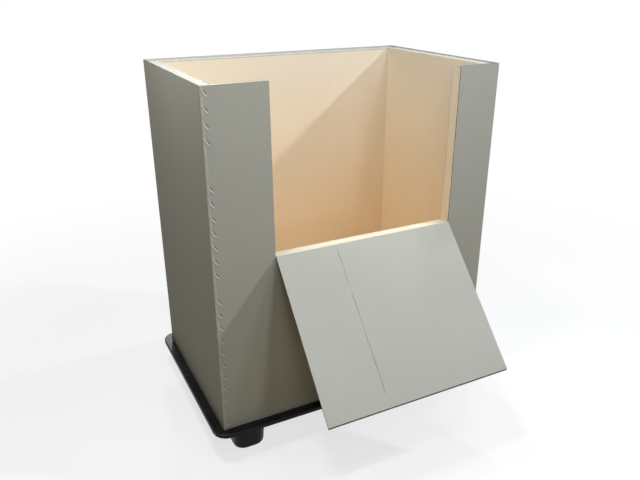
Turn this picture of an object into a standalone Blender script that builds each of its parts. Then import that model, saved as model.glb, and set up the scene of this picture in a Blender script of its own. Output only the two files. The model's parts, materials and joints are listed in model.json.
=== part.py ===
"""Insulated pallet box: a foam-lined sleeve with a drop flap, standing in a twin-sheet plastic pallet."""
import math

import bmesh
import bpy
from mathutils import Matrix, Vector

# Pallet, outside
PALLET_LENGTH = 1.200
PALLET_WIDTH = 0.800
PALLET_HEIGHT = 0.130
PALLET_CORNER = 0.055
SHEET = 0.004
RIM_DEPTH = 0.010
RIM_ROUND = 0.004
TROUGH_DEPTH = 0.014
TROUGH_CORNER = 0.008
FLANGE_WIDTH = 0.012
FLANGE_SLOPE = 0.006

# Feet under the pallet
FOOT_SOLE = 0.119
FOOT_TOP = 0.132
FOOT_CORNER = 0.041
FOOT_SOLE_ROUND = 0.008
FOOT_FROM_END = 0.0865
FOOT_FROM_SIDE = 0.0525
FEET_EACH_WAY = 3

# Stiffening beads pressed into the lower sheet, and cones where the two sheets meet
BEAD_WIDTH = 0.046
BEAD_DEPTH = 0.010
BEAD_END_GAP = 0.075
BEAD_END_FLAT = 0.0005
CONE_TOP_RADIUS = 0.024
CONE_FOOT_RADIUS = 0.017
CONE_COUNT_X = 4
CONE_COUNT_Y = 3

# Sleeve
RIM_SHELF = 0.038
SLEEVE_ABOVE_RIM = 1.227
BOARD = 0.004
FOAM = 0.042
LINER = 0.002
BOARD_PROUD = 0.004
FOLD_RADIUS = 0.005
JOINT_FLAP = 0.036

# Row of spot welds that closes the wrapped board at the front left corner
WELD_PITCH = 0.048
WELD_LENGTH = 0.028
WELD_WIDTH = 0.005
WELD_DEPTH = 0.0012
WELD_END_ROUND = 0.0022
WELD_SLANT = math.radians(40)
WELD_INSET = 0.0145
WELD_END_GAP = 0.022

# Drop flap, the door in the front wall
DOOR_LEFT_STUB = 0.2235
DOOR_RIGHT_STUB = 0.178
HINGE_ABOVE_RIM = 0.639
HINGE_SCORE = 0.003
DOOR_SIDE_GAP = 0.001
DOOR_FLARE = 0.004
DOOR_OPEN = math.radians(138)
CREASE_PLACE = 0.315
CREASE_WIDTH = 0.0020
CREASE_DEPTH = 0.0010
CREASE_LENGTH = 0.556

# Loose insulated floor panel
FLOOR_BOARD = 0.004
FLOOR_FOAM = 0.042
FLOOR_SIDE_GAP = 0.004

# Clearances
SEAT = 0.0003
SLEEVE_PLAY = 0.003
OVERSHOOT = 0.010
SAME_PLACE = 0.000001

# Facets of the round corners, the board's folds and the cones
ARC_STEPS = 4
FOLD_STEPS = 3
CONE_SIDES = 16

# Heights, half sizes and pitches that follow from the sizes above
RIM_Z = PALLET_HEIGHT
WALL = BOARD + SEAT + FOAM + SEAT + LINER
HALF_X = PALLET_LENGTH / 2 - RIM_SHELF
HALF_Y = PALLET_WIDTH / 2 - RIM_SHELF
FOOT_PITCH_X = PALLET_LENGTH / 2 - FOOT_FROM_END - FOOT_SOLE / 2
FOOT_PITCH_Y = PALLET_WIDTH / 2 - FOOT_FROM_SIDE - FOOT_SOLE / 2
CONE_PITCH_X = FOOT_PITCH_X / 2
CONE_PITCH_Y = (FOOT_PITCH_Y / 2 + HALF_Y - WALL - SLEEVE_PLAY) / 2
SLEEVE_FOOT_Z = RIM_Z - TROUGH_DEPTH + SEAT
SLEEVE_TOP_Z = RIM_Z + SLEEVE_ABOVE_RIM
FOAM_TOP_Z = SLEEVE_TOP_Z - BOARD_PROUD
HINGE_Z = RIM_Z + HINGE_ABOVE_RIM
DOOR_X = (-HALF_X + DOOR_LEFT_STUB, HALF_X - DOOR_RIGHT_STUB)
WEB_TOP_Z = RIM_Z - TROUGH_DEPTH - SHEET - SEAT
FLANGE_TOP_Z = RIM_Z - RIM_DEPTH - SEAT

# Depths from a wall's outer face to the faces of its layers
FOAM_OUT = BOARD + SEAT
FOAM_IN = FOAM_OUT + FOAM
LINER_OUT = FOAM_IN + SEAT
LINER_IN = LINER_OUT + LINER


def clear_scene():
    for item in list(bpy.data.objects):
        bpy.data.objects.remove(item, do_unlink=True)


def new_collection(name):
    collection = bpy.data.collections.new(name)
    bpy.context.scene.collection.children.link(collection)
    return collection


def new_material(name, colour, roughness):
    material = bpy.data.materials.new(name)
    material.use_nodes = True
    shader = material.node_tree.nodes["Principled BSDF"]
    shader.inputs["Base Color"].default_value = (*colour, 1.0)
    shader.inputs["Roughness"].default_value = roughness
    shader.inputs["Metallic"].default_value = 0.0
    return material


clear_scene()
PARTS = new_collection("insulated_pallet_box")
CUTTERS = new_collection("cutters")
GREY_BOARD = new_material("grey_board", (0.36, 0.36, 0.33), 0.55)
CREAM_FOAM = new_material("cream_foam", (0.90, 0.84, 0.66), 0.90)
TAN_LINER = new_material("tan_liner", (0.72, 0.58, 0.38), 0.75)
BLACK_PLASTIC = new_material("black_plastic", (0.018, 0.018, 0.020), 0.38)


def add_object(name, mesh, material):
    item = bpy.data.objects.new(name, mesh)
    if material:
        item.data.materials.append(material)
        PARTS.objects.link(item)
    else:
        item.hide_render = True
        item.display_type = "WIRE"
        CUTTERS.objects.link(item)
    return item


def mesh_of(name, bm):
    bmesh.ops.recalc_face_normals(bm, faces=bm.faces)
    mesh = bpy.data.meshes.new(name)
    bm.to_mesh(mesh)
    bm.free()
    return mesh


def add_box(name, low, high, material=None):
    """A plain board, slab or cutter between two opposite corners, with its origin at its centre."""
    low, high = Vector(low), Vector(high)
    bm = bmesh.new()
    bmesh.ops.create_cube(bm, size=1.0)
    bmesh.ops.scale(bm, vec=high - low, verts=bm.verts)
    item = add_object(name, mesh_of(name, bm), material)
    item.location = (low + high) / 2
    return item


def add_door_shape(name, inset, low, high, depths, material=None):
    """The door or a cutter for it: a slab that widens by the flare from the fold to the top of the sleeve."""
    height = SLEEVE_TOP_Z - HINGE_Z
    bm = bmesh.new()
    made = bmesh.ops.create_cube(bm, size=1.0)["verts"]
    for vert in made:
        z = high if vert.co.z > 0 else low
        flare = DOOR_FLARE * z / height - inset
        x = DOOR_X[1] + flare if vert.co.x > 0 else DOOR_X[0] - flare
        vert.co = Vector((x, depths[1] if vert.co.y > 0 else depths[0], z))
    return add_object(name, mesh_of(name, bm), material)


def boolean(item, other, operation, solver="EXACT"):
    modifier = item.modifiers.new(f"{operation.lower()}_{other.name}", "BOOLEAN")
    modifier.operation = operation
    modifier.object = other
    modifier.solver = solver


def add_thickness(item, thickness):
    """Turn an open surface into a shell that keeps this thickness round its corners."""
    solidify = item.modifiers.new("thickness", "SOLIDIFY")
    solidify.solidify_mode = "NON_MANIFOLD"
    solidify.nonmanifold_thickness_mode = "CONSTRAINTS"
    solidify.thickness = thickness
    solidify.offset = -1.0


def rounded_loop(half_x, half_y, radius, steps):
    """Corner points of a rounded rectangle, anticlockwise seen from above."""
    points = []
    for corner in range(4):
        sign_x, sign_y = ((1, 1), (-1, 1), (-1, -1), (1, -1))[corner]
        centre = Vector((sign_x * (half_x - radius), sign_y * (half_y - radius)))
        for step in range(steps + 1):
            angle = math.pi / 2 * (corner + step / steps)
            points.append(centre + radius * Vector((math.cos(angle), math.sin(angle))))
    return points


def nested_sheet(name, loops, material):
    """A formed sheet: rounded loops, each (half x, half y, radius, z), joined in turn and closed inside."""
    bm = bmesh.new()
    rings = []
    for half_x, half_y, radius, z in loops:
        points = rounded_loop(half_x, half_y, radius, ARC_STEPS)
        ring = [bm.verts.new((p.x, p.y, z)) for p in points]
        rings.append(ring)
    count = len(rings[0])
    for outer, inner in zip(rings, rings[1:]):
        for i in range(count):
            j = (i + 1) % count
            bm.faces.new((outer[i], outer[j], inner[j], inner[i]))
    bm.faces.new(rings[-1])
    mesh = bpy.data.meshes.new(name)
    bm.to_mesh(mesh)
    bm.free()
    item = add_object(name, mesh, material)
    add_thickness(item, SHEET)
    return item


def tapered_block(bm, centre, sizes, heights, corner, sole_round):
    """Add a block with round upright edges that narrows from its top size to its bottom size."""
    (low_x, low_y), (top_x, top_y) = sizes
    made = bmesh.ops.create_cube(bm, size=1.0)["verts"]
    for vert in made:
        is_top = vert.co.z > 0
        size_x, size_y = (top_x, top_y) if is_top else (low_x, low_y)
        place = (vert.co.x * size_x, vert.co.y * size_y, heights[1] if is_top else heights[0])
        vert.co = Vector(centre) + Vector(place)
    edges = {edge for vert in made for edge in vert.link_edges}
    upright = [edge for edge in edges if abs(edge.verts[0].co.z - edge.verts[1].co.z) > SAME_PLACE]
    bmesh.ops.bevel(bm, geom=upright, offset=corner, segments=ARC_STEPS, affect="EDGES", profile=0.5)
    if sole_round:
        low = heights[0] + centre[2]
        here = [e for e in bm.edges if all(abs(v.co.z - low) < SAME_PLACE for v in e.verts)
                and all(abs(v.co.x - centre[0]) < low_x and abs(v.co.y - centre[1]) < low_y for v in e.verts)]
        bmesh.ops.bevel(bm, geom=here, offset=sole_round, segments=2, affect="EDGES", profile=0.5)


def grid(count_x, pitch_x, count_y, pitch_y):
    for i in range(count_x):
        for j in range(count_y):
            yield (i - (count_x - 1) / 2) * pitch_x, (j - (count_y - 1) / 2) * pitch_y


def add_feet(name, inset, low, high):
    """The nine feet as one cutter or joiner, each wall moved inwards by inset."""
    bm = bmesh.new()
    sole = FOOT_SOLE - 2 * inset
    top = FOOT_TOP - 2 * inset
    for x, y in grid(FEET_EACH_WAY, FOOT_PITCH_X, FEET_EACH_WAY, FOOT_PITCH_Y):
        tapered_block(bm, (x, y, 0), ((sole, sole), (top, top)), (low, high),
                      FOOT_CORNER - inset, FOOT_SOLE_ROUND)
    return add_object(name, mesh_of(name, bm), None)


def add_bead(name, centre, size, inset, low, high):
    """One bead with nearly round ends, each wall moved inwards by inset and drawn in by its depth."""
    bm = bmesh.new()
    bottom = tuple(s - 2 * inset - BEAD_DEPTH for s in size)
    top = tuple(s - 2 * inset for s in size)
    tapered_block(bm, (*centre, 0), (bottom, top), (low, high), min(bottom) / 2 - BEAD_END_FLAT, 0)
    return add_object(name, mesh_of(name, bm), None)


def add_beads(item):
    """Beads between the rows of feet, both ways. They cross, which only the manifold solver joins cleanly."""
    long_x = PALLET_LENGTH - 2 * BEAD_END_GAP
    long_y = PALLET_WIDTH - 2 * BEAD_END_GAP
    runs = []
    for side in (-1, 1):
        runs.append(((0, side * FOOT_PITCH_Y / 2), (long_x, BEAD_WIDTH)))
        runs.append(((side * FOOT_PITCH_X / 2, 0), (BEAD_WIDTH, long_y)))
    bottom = WEB_TOP_Z - SHEET - BEAD_DEPTH
    for i, (centre, size) in enumerate(runs):
        bead = add_bead(f"bead_{i}", centre, size, 0, bottom, WEB_TOP_Z - SHEET / 2)
        boolean(item, bead, "UNION", "MANIFOLD")
    for i, (centre, size) in enumerate(runs):
        hollow = add_bead(f"bead_hollow_{i}", centre, size, SHEET, bottom + SHEET, WEB_TOP_Z + OVERSHOOT)
        boolean(item, hollow, "DIFFERENCE", "MANIFOLD")


def make_pallet_bottom_sheet():
    """Lower sheet: fused flange, shallow step down to the web, stiffening beads and nine hollow feet."""
    half_x, half_y = PALLET_LENGTH / 2, PALLET_WIDTH / 2
    loops = []
    for offset, z in ((0, FLANGE_TOP_Z), (FLANGE_WIDTH, FLANGE_TOP_Z),
                      (FLANGE_WIDTH + FLANGE_SLOPE, WEB_TOP_Z)):
        loops.append((half_x - offset, half_y - offset, PALLET_CORNER - offset, z))
    item = nested_sheet("pallet_bottom_sheet", loops, BLACK_PLASTIC)
    add_beads(item)
    boolean(item, add_feet("feet", 0, 0, WEB_TOP_Z - SHEET / 2), "UNION", "MANIFOLD")
    boolean(item, add_feet("feet_hollow", SHEET, SHEET, WEB_TOP_Z + OVERSHOOT), "DIFFERENCE", "MANIFOLD")
    return item


def add_cones(name, inset, low, high):
    """Cones clear of the feet and beads, so that each one's foot rests on the lower sheet's web."""
    bm = bmesh.new()
    for x, y in grid(CONE_COUNT_X, CONE_PITCH_X, CONE_COUNT_Y, CONE_PITCH_Y):
        place = Matrix.Translation((x, y, (low + high) / 2))
        bmesh.ops.create_cone(bm, cap_ends=True, segments=CONE_SIDES, radius1=CONE_FOOT_RADIUS - inset,
                              radius2=CONE_TOP_RADIUS - inset, depth=high - low, matrix=place)
    return add_object(name, mesh_of(name, bm), None)


def make_pallet_top_sheet():
    """Upper sheet: round-edged rim, trough that the sleeve stands in, raised deck with pressed cones."""
    half_x, half_y = PALLET_LENGTH / 2, PALLET_WIDTH / 2
    arc = RIM_ROUND * (1 - math.cos(math.radians(45)))
    loops = []
    for offset, z in ((0, RIM_Z - RIM_DEPTH), (0, RIM_Z - RIM_ROUND), (arc, RIM_Z - arc), (RIM_ROUND, RIM_Z)):
        loops.append((half_x - offset, half_y - offset, PALLET_CORNER - offset, z))
    outer = SLEEVE_PLAY
    inner = WALL + SLEEVE_PLAY
    floor_z = RIM_Z - TROUGH_DEPTH
    for grow, z in ((outer, RIM_Z), (outer, floor_z), (-inner, floor_z), (-inner, RIM_Z)):
        loops.append((HALF_X + grow, HALF_Y + grow, TROUGH_CORNER, z))
    item = nested_sheet("pallet_top_sheet", loops, BLACK_PLASTIC)
    cup_foot = floor_z - SHEET
    boolean(item, add_cones("cones", 0, cup_foot, RIM_Z - SHEET / 2), "UNION")
    boolean(item, add_cones("cone_hollows", SHEET, cup_foot + SHEET, RIM_Z + SHEET), "DIFFERENCE")
    return item


def folded_path():
    """Outer face of the wrapped board, from its left front end round to the end tucked behind it."""
    r = FOLD_RADIUS
    back_of_front = -HALF_Y + BOARD + SEAT
    corners = ((HALF_X, -HALF_Y, -90), (HALF_X, HALF_Y, 0), (-HALF_X, HALF_Y, 90),
               (-HALF_X, back_of_front, 180))
    points = [Vector((-HALF_X, -HALF_Y))]
    for x, y, start in corners:
        inward_x = -r if x > 0 else r
        inward_y = -r if y > 0 else r
        centre = Vector((x + inward_x, y + inward_y))
        for step in range(FOLD_STEPS + 1):
            angle = math.radians(start + 90 * step / FOLD_STEPS)
            points.append(centre + r * Vector((math.cos(angle), math.sin(angle))))
    points.append(Vector((-HALF_X + JOINT_FLAP, back_of_front)))
    return points


def add_weld_marks():
    """Slanted dents of the welding horn, one cutter for the whole row."""
    bm = bmesh.new()
    first = RIM_Z + WELD_END_GAP
    last = SLEEVE_TOP_Z - WELD_END_GAP
    count = int((last - first) / WELD_PITCH) + 1
    spare = (last - first) - (count - 1) * WELD_PITCH
    for i in range(count):
        place = Vector((-HALF_X + WELD_INSET, -HALF_Y, first + spare / 2 + i * WELD_PITCH))
        turn = Matrix.Translation(place) @ Matrix.Rotation(WELD_SLANT, 4, "Y")
        made = bmesh.ops.create_cube(bm, size=1.0)["verts"]
        bmesh.ops.scale(bm, vec=(WELD_LENGTH, 2 * WELD_DEPTH, WELD_WIDTH), verts=made)
        edges = {edge for vert in made for edge in vert.link_edges}
        across = [e for e in edges if abs(e.verts[0].co.y - e.verts[1].co.y) > WELD_DEPTH]
        rounded = bmesh.ops.bevel(bm, geom=across, offset=WELD_END_ROUND, segments=2, affect="EDGES")
        body = set(rounded["verts"]) | {vert for vert in made if vert.is_valid}
        bmesh.ops.transform(bm, matrix=turn, verts=list(body))
    return add_object("weld_marks", mesh_of("weld_marks", bm), None)


def add_opening(name, out, inn):
    """Cutter for the door's opening, between two depths from the front wall's outer face."""
    opening = add_door_shape(name, 0, -HINGE_SCORE / 2, SLEEVE_TOP_Z - HINGE_Z + OVERSHOOT, (out, inn))
    opening.location = (0, -HALF_Y, HINGE_Z)
    return opening


def make_outer_board():
    """One sheet wrapped round the box: three folds, an end tucked behind the front, a U cut for the door."""
    bm = bmesh.new()
    low = [bm.verts.new((p.x, p.y, SLEEVE_FOOT_Z)) for p in folded_path()]
    edges = [bm.edges.new(pair) for pair in zip(low, low[1:])]
    raised = bmesh.ops.extrude_edge_only(bm, edges=edges)["geom"]
    lift = Vector((0, 0, SLEEVE_TOP_Z - SLEEVE_FOOT_Z))
    bmesh.ops.translate(bm, vec=lift, verts=[g for g in raised if isinstance(g, bmesh.types.BMVert)])
    front = min(bm.faces, key=lambda face: face.calc_center_median().y)
    bm.normal_update()
    if front.normal.y > 0:
        bmesh.ops.reverse_faces(bm, faces=bm.faces)
    mesh = bpy.data.meshes.new("outer_board")
    bm.to_mesh(mesh)
    bm.free()
    item = add_object("outer_board", mesh, GREY_BOARD)
    add_thickness(item, BOARD)
    boolean(item, add_opening("door_cut", -OVERSHOOT, BOARD + SEAT / 2), "DIFFERENCE")
    boolean(item, add_weld_marks(), "DIFFERENCE")
    return item


def wall_box(name, side, out, inn, start, stop, low_z, high_z, material):
    """A layer of one wall: out and inn are depths from the wall's outer face, start and stop lie along it."""
    if side in ("front", "back"):
        sign = -1 if side == "front" else 1
        y = sorted((sign * (HALF_Y - out), sign * (HALF_Y - inn)))
        return add_box(name, (start, y[0], low_z), (stop, y[1], high_z), material)
    sign = -1 if side == "left" else 1
    x = sorted((sign * (HALF_X - out), sign * (HALF_X - inn)))
    return add_box(name, (x[0], start, low_z), (x[1], stop, high_z), material)


def make_foam_panels():
    """Front and back slabs run up to the folds in the board and the side slabs stand between them."""
    end_x = HALF_X - FOAM_OUT - (FOLD_RADIUS - BOARD)
    end_y = HALF_Y - FOAM_IN - SEAT
    low, top = SLEEVE_FOOT_Z, FOAM_TOP_Z
    wall_box("back_foam", "back", FOAM_OUT, FOAM_IN, -end_x, end_x, low, top, CREAM_FOAM)
    wall_box("left_foam", "left", FOAM_OUT, FOAM_IN, -end_y, end_y, low, top, CREAM_FOAM)
    wall_box("right_foam", "right", FOAM_OUT, FOAM_IN, -end_y, end_y, low, top, CREAM_FOAM)
    left = wall_box("front_left_foam", "front", FOAM_OUT, FOAM_IN, -end_x, DOOR_X[0], low, top, CREAM_FOAM)
    right = wall_box("front_right_foam", "front", FOAM_OUT, FOAM_IN, DOOR_X[1], end_x, low, top, CREAM_FOAM)
    wall_box("front_lower_foam", "front", FOAM_OUT, FOAM_IN, DOOR_X[0] + SEAT, DOOR_X[1] - SEAT,
             low, HINGE_Z - HINGE_SCORE / 2, CREAM_FOAM)
    rebate = add_box("flap_rebate", (-HALF_X, -HALF_Y, low - OVERSHOOT),
                     (-HALF_X + JOINT_FLAP + SEAT, -HALF_Y + 2 * (BOARD + SEAT), top + OVERSHOOT))
    boolean(left, rebate, "DIFFERENCE")
    opening = add_opening("foam_cut", -OVERSHOOT, LINER_OUT)
    boolean(left, opening, "DIFFERENCE")
    boolean(right, opening, "DIFFERENCE")


def make_liners():
    """Thin sheets on the inside of the foam; the front and back ones fit between the side ones."""
    end_x = HALF_X - LINER_IN - SEAT
    end_y = HALF_Y - LINER_OUT
    low, top = SLEEVE_FOOT_Z, FOAM_TOP_Z
    wall_box("left_liner", "left", LINER_OUT, LINER_IN, -end_y, end_y, low, top, TAN_LINER)
    wall_box("right_liner", "right", LINER_OUT, LINER_IN, -end_y, end_y, low, top, TAN_LINER)
    wall_box("back_liner", "back", LINER_OUT, LINER_IN, -end_x, end_x, low, top, TAN_LINER)
    left = wall_box("front_left_liner", "front", LINER_OUT, LINER_IN, -end_x, DOOR_X[0], low, top, TAN_LINER)
    right = wall_box("front_right_liner", "front", LINER_OUT, LINER_IN, DOOR_X[1], end_x, low, top, TAN_LINER)
    opening = add_opening("liner_cut", FOAM_IN, LINER_IN + OVERSHOOT)
    boolean(left, opening, "DIFFERENCE")
    boolean(right, opening, "DIFFERENCE")
    wall_box("front_lower_liner", "front", LINER_OUT, LINER_IN, DOOR_X[0] + SEAT, DOOR_X[1] - SEAT,
             low, HINGE_Z - HINGE_SCORE / 2, TAN_LINER)


def make_hinge_crease():
    """The board's outer skin, left whole along the score, as a thin round bead on the hinge line."""
    radius = HINGE_SCORE / 2 - SEAT
    length = DOOR_X[1] - DOOR_X[0] - 2 * DOOR_SIDE_GAP
    bm = bmesh.new()
    bmesh.ops.create_cone(bm, cap_ends=True, segments=CONE_SIDES, radius1=radius, radius2=radius,
                          depth=length)
    item = add_object("hinge_crease", mesh_of("hinge_crease", bm), GREY_BOARD)
    item.rotation_euler = (0, math.pi / 2, 0)
    item.location = ((DOOR_X[0] + DOOR_X[1]) / 2, -HALF_Y, HINGE_Z)
    item.data.shade_smooth()
    item.data.set_sharp_from_angle(angle=math.radians(40))
    return item


def make_door():
    """A flap of the same board with one crushed flute, drawn shut and swung open about the fold."""
    hinge = bpy.data.objects.new("door_hinge", None)
    PARTS.objects.link(hinge)
    middle = (DOOR_X[0] + DOOR_X[1]) / 2
    hinge.location = (middle, -HALF_Y, HINGE_Z)
    hinge.rotation_euler = (DOOR_OPEN, 0, 0)
    low = HINGE_SCORE / 2
    board = add_door_shape("door_board", DOOR_SIDE_GAP, low, SLEEVE_TOP_Z - HINGE_Z, (0, BOARD), GREY_BOARD)
    board.location.x = -middle
    crease_x = DOOR_X[0] - middle + CREASE_PLACE * (DOOR_X[1] - DOOR_X[0])
    crease = add_box("crease_cut", (crease_x - CREASE_WIDTH / 2, BOARD - CREASE_DEPTH, low - OVERSHOOT),
                     (crease_x + CREASE_WIDTH / 2, BOARD + OVERSHOOT, low + CREASE_LENGTH))
    boolean(board, crease, "DIFFERENCE")
    board.parent = hinge
    crease.parent = hinge


def make_floor_panel():
    """Foam between two boards, lying loose on the deck inside the sleeve."""
    half_x = HALF_X - WALL - FLOOR_SIDE_GAP
    half_y = HALF_Y - WALL - FLOOR_SIDE_GAP
    z = RIM_Z + SEAT
    for name, thickness, material in (("floor_lower_board", FLOOR_BOARD, GREY_BOARD),
                                      ("floor_foam", FLOOR_FOAM, CREAM_FOAM),
                                      ("floor_upper_board", FLOOR_BOARD, TAN_LINER)):
        add_box(name, (-half_x, -half_y, z), (half_x, half_y, z + thickness), material)
        z += thickness + SEAT


make_pallet_bottom_sheet()
make_pallet_top_sheet()
make_outer_board()
make_foam_panels()
make_liners()
make_hinge_crease()
make_door()
make_floor_panel()
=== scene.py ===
# %% [markdown]
# # Insulated pallet box
#
# A tall sleeve with foam-lined walls stands in a black plastic pallet, and a flap of the sleeve's own board
# hangs open at the front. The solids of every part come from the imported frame. This lesson gives the parts
# their looks: it keeps the solids whose shape is already right and finishes them with node materials, and it
# builds finer pieces for the ones that show more detail in real life than a plain solid does.

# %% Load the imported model
import json
import math

import bmesh
import bpy
from mathutils import Matrix, Vector, noise


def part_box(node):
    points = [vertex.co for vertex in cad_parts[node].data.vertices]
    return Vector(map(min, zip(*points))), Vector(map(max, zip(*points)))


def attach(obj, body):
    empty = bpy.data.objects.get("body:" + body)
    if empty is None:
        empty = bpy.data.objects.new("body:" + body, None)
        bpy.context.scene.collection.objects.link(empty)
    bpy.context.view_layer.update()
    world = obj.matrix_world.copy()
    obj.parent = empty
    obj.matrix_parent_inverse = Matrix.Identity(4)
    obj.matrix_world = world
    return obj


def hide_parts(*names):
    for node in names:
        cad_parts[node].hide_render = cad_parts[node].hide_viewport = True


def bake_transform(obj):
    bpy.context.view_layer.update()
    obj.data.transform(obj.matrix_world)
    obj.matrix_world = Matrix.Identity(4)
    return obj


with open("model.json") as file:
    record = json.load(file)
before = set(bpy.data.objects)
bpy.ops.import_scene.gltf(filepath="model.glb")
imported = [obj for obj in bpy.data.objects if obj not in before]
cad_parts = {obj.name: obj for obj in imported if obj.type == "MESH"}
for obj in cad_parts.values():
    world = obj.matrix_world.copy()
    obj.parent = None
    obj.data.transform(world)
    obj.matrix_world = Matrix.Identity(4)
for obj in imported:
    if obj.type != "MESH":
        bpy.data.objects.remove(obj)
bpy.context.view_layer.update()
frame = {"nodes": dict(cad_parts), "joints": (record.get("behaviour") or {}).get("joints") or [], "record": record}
nodes = frame["nodes"]
scene = bpy.context.scene

# %% [markdown]
# ## Where things are
#
# A finer piece has to sit exactly where its solid sits. The sizes are therefore read back from the solids'
# boxes, and the fold's place comes from the hinge joint. Only what no box shows is written here as numbers:
# the board's thickness, the gap between pieces that touch, the gap beside the flap, the width of the score
# that makes the fold, and the width of a flute from web to web.

# %% Sizes read from the solids
board_low, board_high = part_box("outer_board")
half_x, half_y = board_high.x, board_high.y
sleeve_foot, sleeve_top = board_low.z, board_high.z
rim_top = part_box("pallet_top_sheet")[1].z
fold_low, fold_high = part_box("hinge_crease")

BOARD = 0.004
GAP = 0.0003
SIDE_GAP = 0.001
SCORE = 0.003
FLUTE = 0.005

door_left, door_right = fold_low.x - SIDE_GAP, fold_high.x + SIDE_GAP
flap_half = (door_right - door_left) / 2 - SIDE_GAP
flare = fold_low.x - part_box("door_board")[0].x
widening = flare / flap_half
hinge = next(joint for joint in frame["joints"] if joint["name"] == "door_hinge")
hinge_place = Vector(hinge["pos_m"])
door_shut = math.radians(hinge["range_deg"][0])
print(f"Sleeve {2 * half_x:.3f} x {2 * half_y:.3f} m, fold at {hinge_place.z:.3f} m, flare {flare:.4f} m")

# %% [markdown]
# ## Helpers for meshes
#
# Each piece is drawn point by point in a bmesh, Blender's editable mesh, and then handed over to one small
# function that turns it into an object, gives it its finishes and tells the frame which body carries it.
# Every point of a sheet carries two extra numbers. `run` is its place along the sheet, and the second says how
# much the plastic is rubbed or stressed there; below zero it marks painted shade deep in the flutes. The
# materials read both later, so wear and painted shade sit exactly on edges, dents and hollows.


# %% Draw points and faces
def new_sheet():
    """An empty bmesh and its two numbers per point."""
    bm = bmesh.new()
    return bm, [bm.verts.layers.float.new(name) for name in ("run", "wear_and_shade")]


def add_point(bm, layers, place, run, wear_and_shade):
    vert = bm.verts.new(place)
    vert[layers[0]], vert[layers[1]] = run, wear_and_shade
    return vert


def add_face(bm, corners, cut=0):
    """A face in the first finish, or with cut=1 in the second one, for cut edges."""
    face = bm.faces.new(corners)
    face.material_index = cut
    return face


def add_strip(bm, left, right, cut=0):
    """Faces that join two rows of points, pair by pair."""
    return [add_face(bm, corners, cut) for corners in zip(left, left[1:], right[1:], right)]


def close_sheet(bm):
    """Drop the points that no face uses, and turn every face outwards."""
    loose = [vert for vert in bm.verts if not vert.link_faces]
    bmesh.ops.delete(bm, geom=loose, context="VERTS")
    bmesh.ops.recalc_face_normals(bm, faces=bm.faces)


# %% Turn a bmesh into a riding piece
def make_object(name, bm, finishes):
    mesh = bpy.data.meshes.new(name)
    bm.to_mesh(mesh)
    bm.free()
    for finish in finishes:
        mesh.materials.append(finish)
    made = bpy.data.objects.new(name, mesh)
    scene.collection.objects.link(made)
    return made


def add_piece(name, bm, finishes, body, stands_for=(), placed=None):
    piece = make_object(name, bm, finishes)
    if placed:
        piece.matrix_world = placed
    if body:
        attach(piece, body)
    if stands_for:
        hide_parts(*stands_for)
    print(f"{name}: {len(piece.data.polygons)} faces", f"on body {body}" if body else "between two bodies")
    return piece


# %% [markdown]
# ## Helpers for materials
#
# A material is a graph of nodes. Linking nodes by hand gets long, so one helper makes a node and fills its
# sockets, each with a plain value or with a link to another node. The others build on it: sums, colour
# mixes, noise, the places and numbers that a surface offers, and node groups, which hold the effects that
# several materials share. The last one fills the Principled shader at the end of a material.


# %% Node helpers
def add_node(tree, kind, inputs=None, **settings):
    node = tree.nodes.new(kind)
    for key, value in settings.items():
        setattr(node, key, value)
    for key, value in (inputs or {}).items():
        if isinstance(value, bpy.types.NodeSocket):
            tree.links.new(value, node.inputs[key])
        else:
            node.inputs[key].default_value = value
    return node


def maths(tree, operation, first, second=0.0, clamp=False):
    node = add_node(tree, "ShaderNodeMath", {0: first, 1: second}, operation=operation, use_clamp=clamp)
    return node.outputs[0]


def plus_part(tree, base, value, share):
    """The base with a share of a value added."""
    return maths(tree, "ADD", base, maths(tree, "MULTIPLY", value, share))


def blend_colour(tree, share, first, second, way="MIX"):
    node = add_node(tree, "ShaderNodeMix", {0: share, 6: first, 7: second}, data_type="RGBA", blend_type=way)
    return node.outputs[2]


def toned(tree, colour, tone):
    """A colour multiplied by a tone near 1."""
    return blend_colour(tree, 1.0, colour, tone, "MULTIPLY")


def soft_noise(tree, place, scale, detail=2.0, roughness=0.5):
    inputs = {"Vector": place, "Scale": scale, "Detail": detail, "Roughness": roughness}
    return add_node(tree, "ShaderNodeTexNoise", inputs).outputs["Fac"]


# %% What a surface offers
def object_place(tree):
    return add_node(tree, "ShaderNodeTexCoord").outputs["Object"]


def point_number(tree, name):
    return add_node(tree, "ShaderNodeAttribute", attribute_name=name).outputs["Fac"]


def z_part(tree, vector):
    return add_node(tree, "ShaderNodeSeparateXYZ", {0: vector}).outputs["Z"]


def facing_up(tree):
    """How far the surface looks up, from -1 to 1."""
    return z_part(tree, add_node(tree, "ShaderNodeNewGeometry").outputs["Normal"])


def towards_top(tree, height, start):
    """0 up to the starting height, and rising from there to 1 at the sleeve's top."""
    span = {"Value": height, "From Min": start, "From Max": sleeve_top}
    return add_node(tree, "ShaderNodeMapRange", span).outputs[0]


# %% Make and place a group
def new_group(name, ins, out):
    """A node group with its inputs, which are vectors where None is given, and its one output."""
    group = bpy.data.node_groups.new(name, "ShaderNodeTree")
    for socket_name, value in ins.items():
        kind = "NodeSocketVector" if value is None else "NodeSocketFloat"
        socket = group.interface.new_socket(socket_name, in_out="INPUT", socket_type=kind)
        if value is not None:
            socket.default_value = value
    group.interface.new_socket(out, in_out="OUTPUT", socket_type="NodeSocketFloat")
    inside, outside = group.nodes.new("NodeGroupInput"), group.nodes.new("NodeGroupOutput")
    return group, inside.outputs, outside.inputs[0]


def end_group(group, value, out):
    group.links.new(value, out)
    print("Group", group.name, "with", len(group.nodes), "nodes")


def place_group(tree, group, **inputs):
    return add_node(tree, "ShaderNodeGroup", inputs, node_tree=group).outputs[0]


# %% Start and fill a material
def new_finish(name):
    """An empty material with its Principled shader."""
    finish = bpy.data.materials.new(name)
    finish.use_nodes = True
    return finish, finish.node_tree, finish.node_tree.nodes["Principled BSDF"]


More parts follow.
